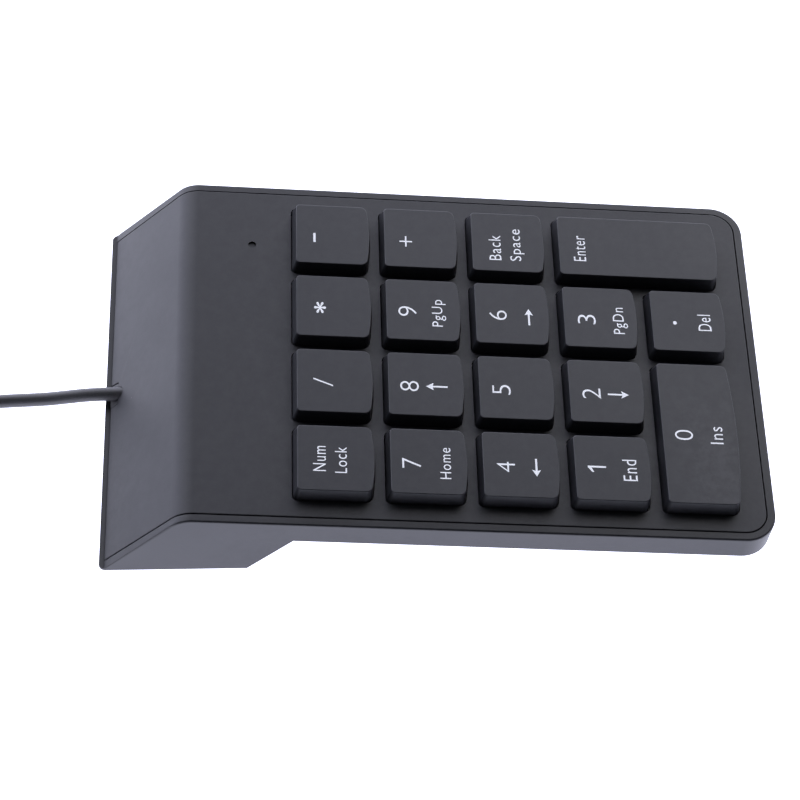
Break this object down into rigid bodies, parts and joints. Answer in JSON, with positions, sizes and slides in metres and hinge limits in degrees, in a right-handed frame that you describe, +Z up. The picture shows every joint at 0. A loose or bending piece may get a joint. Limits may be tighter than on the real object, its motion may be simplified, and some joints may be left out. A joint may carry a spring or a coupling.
{
  "type": "numeric keypad",
  "caption": "Low wired numeric keypad with flat keys in a tilted plate, a raised rear hump, and a thin lead that ends in a plug.",
  "frame": {"origin": "on the table under the middle of the case's footprint", "axes": "+X to the user's right, +Y away from the user towards the lead, +Z up from the table"},
  "size_m": [0.0866, 0.229, 0.0204],
  "materials": {
    "key_plastic": "fine matte ABS, dark blue-grey",
    "cover_plastic": "fine spark-textured matte ABS",
    "base_plastic": "matte ABS",
    "silicone": "translucent silicone rubber",
    "film": "clear polyester film",
    "steel": "bright steel",
    "zinc_screw": "zinc plated",
    "board": "solder mask on glass epoxy",
    "epoxy": "glossy epoxy drop",
    "chip": "ceramic chip parts",
    "led_lens": "water-clear LED",
    "foam": "dense pressure foam",
    "connector_plastic": "natural nylon",
    "wire_insulation": "soft coloured insulation",
    "sleeve_rubber": "moulded soft PVC",
    "foot_rubber": "soft black rubber",
    "label": "blank silver-grey sticker",
    "cord_pvc": "matte PVC jacket",
    "tie_plastic": "soft strap",
    "plug_pvc": "moulded PVC grip",
    "plug_steel": "nickel plated shell",
    "plug_white": "white insulator",
    "gold": "gold flash"
  },
  "bodies": {
    "case": {"top_cover": "cover_plastic", "base_shell": "base_plastic", "dome_sheet": "silicone", "membrane_upper": "film", "membrane_spacer": "film", "membrane_lower": "film", "circuit_board": "board", "controller_chip": "epoxy", "board_parts": "chip", "status_led": "led_lens", "clamp_bar": "steel", "clamp_foam": "foam", "board_screws": "zinc_screw", "board_connector": "connector_plastic", "wire_plug": "connector_plastic", "inner_wires": "wire_insulation", "cable_anchor": "sleeve_rubber", "case_screws": "zinc_screw", "front_feet": "foot_rubber", "rear_feet": "foot_rubber", "rating_label": "label", "usb_cord": "cord_pvc", "cord_coil": "cord_pvc", "cord_tie": "tie_plastic", "plug_grip": "plug_pvc", "plug_shell": "plug_steel", "plug_tongue": "plug_white", "plug_contacts": "gold"},
    "cap_num_lock": {"key_num_lock": "key_plastic"},
    "cap_divide": {"key_divide": "key_plastic"},
    "cap_multiply": {"key_multiply": "key_plastic"},
    "cap_minus": {"key_minus": "key_plastic"},
    "cap_7": {"key_7": "key_plastic"},
    "cap_8": {"key_8": "key_plastic"},
    "cap_9": {"key_9": "key_plastic"},
    "cap_plus": {"key_plus": "key_plastic"},
    "cap_4": {"key_4": "key_plastic"},
    "cap_5": {"key_5": "key_plastic"},
    "cap_6": {"key_6": "key_plastic"},
    "cap_backspace": {"key_backspace": "key_plastic"},
    "cap_1": {"key_1": "key_plastic"},
    "cap_2": {"key_2": "key_plastic"},
    "cap_3": {"key_3": "key_plastic"},
    "cap_enter": {"key_enter": "key_plastic"},
    "cap_0": {"key_0": "key_plastic"},
    "cap_decimal": {"key_decimal": "key_plastic"},
    "bar_enter": {"stabilizer_enter": "steel"},
    "bar_zero": {"stabilizer_zero": "steel"}
  },
  "joints": [
    {"name": "press_num_lock", "type": "slide", "parent": "case", "child": "cap_num_lock", "axis": [0, 0.0941, -0.9956], "range_m": [0, 0.0025], "stiffness_N_per_m": 180, "springref_m": -0.001, "deforming": ["dome_sheet"]},
    {"name": "press_divide", "type": "slide", "parent": "case", "child": "cap_divide", "axis": [0, 0.0941, -0.9956], "range_m": [0, 0.0025], "stiffness_N_per_m": 180, "springref_m": -0.001, "deforming": ["dome_sheet"]},
    {"name": "press_multiply", "type": "slide", "parent": "case", "child": "cap_multiply", "axis": [0, 0.0941, -0.9956], "range_m": [0, 0.0025], "stiffness_N_per_m": 180, "springref_m": -0.001, "deforming": ["dome_sheet"]},
    {"name": "press_minus", "type": "slide", "parent": "case", "child": "cap_minus", "axis": [0, 0.0941, -0.9956], "range_m": [0, 0.0025], "stiffness_N_per_m": 180, "springref_m": -0.001, "deforming": ["dome_sheet"]},
    {"name": "press_7", "type": "slide", "parent": "case", "child": "cap_7", "axis": [0, 0.0941, -0.9956], "range_m": [0, 0.0025], "stiffness_N_per_m": 180, "springref_m": -0.001, "deforming": ["dome_sheet"]},
    {"name": "press_8", "type": "slide", "parent": "case", "child": "cap_8", "axis": [0, 0.0941, -0.9956], "range_m": [0, 0.0025], "stiffness_N_per_m": 180, "springref_m": -0.001, "deforming": ["dome_sheet"]},
    {"name": "press_9", "type": "slide", "parent": "case", "child": "cap_9", "axis": [0, 0.0941, -0.9956], "range_m": [0, 0.0025], "stiffness_N_per_m": 180, "springref_m": -0.001, "deforming": ["dome_sheet"]},
    {"name": "press_plus", "type": "slide", "parent": "case", "child": "cap_plus", "axis": [0, 0.0941, -0.9956], "range_m": [0, 0.0025], "stiffness_N_per_m": 180, "springref_m": -0.001, "deforming": ["dome_sheet"]},
    {"name": "press_4", "type": "slide", "parent": "case", "child": "cap_4", "axis": [0, 0.0941, -0.9956], "range_m": [0, 0.0025], "stiffness_N_per_m": 180, "springref_m": -0.001, "deforming": ["dome_sheet"]},
    {"name": "press_5", "type": "slide", "parent": "case", "child": "cap_5", "axis": [0, 0.0941, -0.9956], "range_m": [0, 0.0025], "stiffness_N_per_m": 180, "springref_m": -0.001, "deforming": ["dome_sheet"]},
    {"name": "press_6", "type": "slide", "parent": "case", "child": "cap_6", "axis": [0, 0.0941, -0.9956], "range_m": [0, 0.0025], "stiffness_N_per_m": 180, "springref_m": -0.001, "deforming": ["dome_sheet"]},
    {"name": "press_backspace", "type": "slide", "parent": "case", "child": "cap_backspace", "axis": [0, 0.0941, -0.9956], "range_m": [0, 0.0025], "stiffness_N_per_m": 180, "springref_m": -0.001, "deforming": ["dome_sheet"]},
    {"name": "press_1", "type": "slide", "parent": "case", "child": "cap_1", "axis": [0, 0.0941, -0.9956], "range_m": [0, 0.0025], "stiffness_N_per_m": 180, "springref_m": -0.001, "deforming": ["dome_sheet"]},
    {"name": "press_2", "type": "slide", "parent": "case", "child": "cap_2", "axis": [0, 0.0941, -0.9956], "range_m": [0, 0.0025], "stiffness_N_per_m": 180, "springref_m": -0.001, "deforming": ["dome_sheet"]},
    {"name": "press_3", "type": "slide", "parent": "case", "child": "cap_3", "axis": [0, 0.0941, -0.9956], "range_m": [0, 0.0025], "stiffness_N_per_m": 180, "springref_m": -0.001, "deforming": ["dome_sheet"]},
    {"name": "press_enter", "type": "slide", "parent": "case", "child": "cap_enter", "axis": [0, 0.0941, -0.9956], "range_m": [0, 0.0025], "stiffness_N_per_m": 190, "springref_m": -0.001, "deforming": ["dome_sheet"]},
    {"name": "press_0", "type": "slide", "parent": "case", "child": "cap_0", "axis": [0, 0.0941, -0.9956], "range_m": [0, 0.0025], "stiffness_N_per_m": 190, "springref_m": -0.001, "deforming": ["dome_sheet"]},
    {"name": "press_decimal", "type": "slide", "parent": "case", "child": "cap_decimal", "axis": [0, 0.0941, -0.9956], "range_m": [0, 0.0025], "stiffness_N_per_m": 180, "springref_m": -0.001, "deforming": ["dome_sheet"]},
    {"name": "tilt_bar_enter", "type": "hinge", "parent": "case", "child": "bar_enter", "pos_m": [0.023, -0.04435, 0.00816], "axis": [0, 0.9956, 0.0941], "range_deg": [0, 20.51]},
    {"name": "tilt_bar_zero", "type": "hinge", "parent": "case", "child": "bar_zero", "pos_m": [-0.019, -0.04833, 0.00778], "axis": [1, 0, 0], "range_deg": [0, 20.51]}
  ],
  "couplings": [
    {"joint": "tilt_bar_enter", "follows": "press_enter", "rad_per_m": 142.86},
    {"joint": "tilt_bar_zero", "follows": "press_0", "rad_per_m": 142.86}
  ]
}
